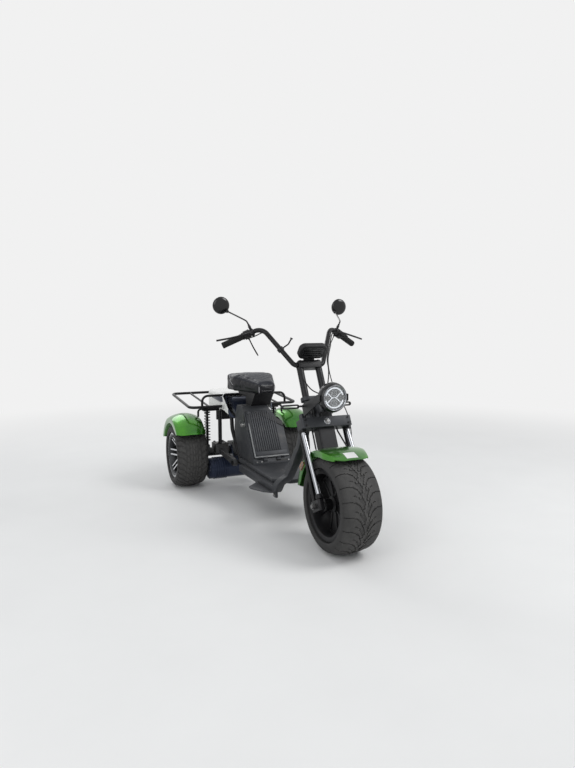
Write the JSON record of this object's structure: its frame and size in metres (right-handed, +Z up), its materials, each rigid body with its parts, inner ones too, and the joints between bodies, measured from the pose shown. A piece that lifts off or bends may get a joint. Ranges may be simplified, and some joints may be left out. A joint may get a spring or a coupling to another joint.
{
  "type": "electric cargo scooter",
  "caption": "Low electric scooter with one steered fat wheel in front, fat driven wheels behind, a slanted battery box under the seat and a tubular cargo rack.",
  "frame": {"origin": "on the floor, under the middle of the overall box", "axes": "+Z up, the front faces -Y, the rider's left is +X"},
  "size_m": [0.976, 2.1284, 1.2517],
  "materials": {
    "green_paint": "candy metallic gloss",
    "anthracite_paint": "satin powder coat",
    "black_paint": "satin",
    "chrome": "polished",
    "steel": "ground",
    "cast_block": "sand cast",
    "rim_black": "matt black",
    "rim_silver": "machined on dark grey",
    "tyre": "worn rubber",
    "black_plastic": "fine grain",
    "white_plastic": "gloss",
    "amber_plastic": "clear tinted",
    "grip_rubber": "ribbed",
    "lead_rubber": "smooth sheath",
    "red_plastic": "clear tinted",
    "leather": "smooth with light piping",
    "lens": "clear",
    "mirror": "silvered",
    "cell_block": "plain"
  },
  "bodies": {
    "steering": {"lower_bridge": "anthracite_paint", "upper_yoke": "anthracite_paint", "fork_tubes": "chrome", "fork_sliders": "black_paint", "front_axle": "steel", "front_caliper": "anthracite_paint", "front_fender": "green_paint", "fender_stays": "black_paint", "headlight_shell": "black_plastic", "headlight_lens": "lens", "headlight_bracket": "black_paint", "front_signals": "black_plastic", "risers": "black_paint", "bar_clamp": "black_paint", "handlebar": "black_paint", "grips": "grip_rubber", "switch_blocks": "black_plastic", "brake_levers": "black_paint", "mirror_housings": "black_plastic", "mirror_glass": "mirror", "display": "black_plastic", "horn": "black_plastic", "side_reflectors": "amber_plastic", "control_leads": "lead_rubber", "lead_loop": "lead_rubber", "brake_hose": "lead_rubber", "bar_hook": "black_paint"},
    "front_wheel": {"front_tyre": "tyre", "front_rim": "rim_black", "front_disc": "steel"},
    "chassis": {"head_tube": "anthracite_paint", "frame_beams": "anthracite_paint", "deck_plate": "anthracite_paint", "foot_rests": "anthracite_paint", "battery_box": "anthracite_paint", "battery_pack": "cell_block", "seat_support": "black_plastic", "seat_cushion": "leather", "rack": "black_paint", "rear_frame": "black_paint", "tail_cowl": "white_plastic", "cowl_core": "black_paint", "axle_housing": "cast_block", "drive_motor": "black_paint", "shock_bodies": "black_paint", "shock_springs": "black_paint", "rear_fenders": "green_paint", "fender_brackets": "black_paint", "tail_lamp": "red_plastic", "plate_carrier": "black_paint"},
    "battery_lid": {"battery_lid": "anthracite_paint"},
    "rear_wheel_right": {"rear_tyre_right": "tyre", "rear_rim_right": "rim_silver"},
    "rear_wheel_left": {"rear_tyre_left": "tyre", "rear_rim_left": "rim_silver"}
  },
  "joints": [
    {"name": "steering", "type": "hinge", "parent": "chassis", "child": "steering", "pos_m": [0, -0.79339, 0.22272], "axis": [0, 0.4384, 0.8988], "range_deg": [-38, 38]},
    {"name": "front_wheel", "type": "hinge", "parent": "steering", "child": "front_wheel", "pos_m": [0, -0.82575, 0.2385], "axis": [1, 0, 0], "continuous": true},
    {"name": "rear_wheel_right", "type": "hinge", "parent": "chassis", "child": "rear_wheel_right", "pos_m": [-0.3775, 0.68025, 0.218], "axis": [1, 0, 0], "continuous": true},
    {"name": "rear_wheel_left", "type": "hinge", "parent": "chassis", "child": "rear_wheel_left", "pos_m": [0.3775, 0.68025, 0.218], "axis": [1, 0, 0], "continuous": true},
    {"name": "battery_lid", "type": "hinge", "parent": "chassis", "child": "battery_lid", "pos_m": [0, 0.04373, 0.28886], "axis": [1, 0, 0], "range_deg": [0, 90]}
  ]
}
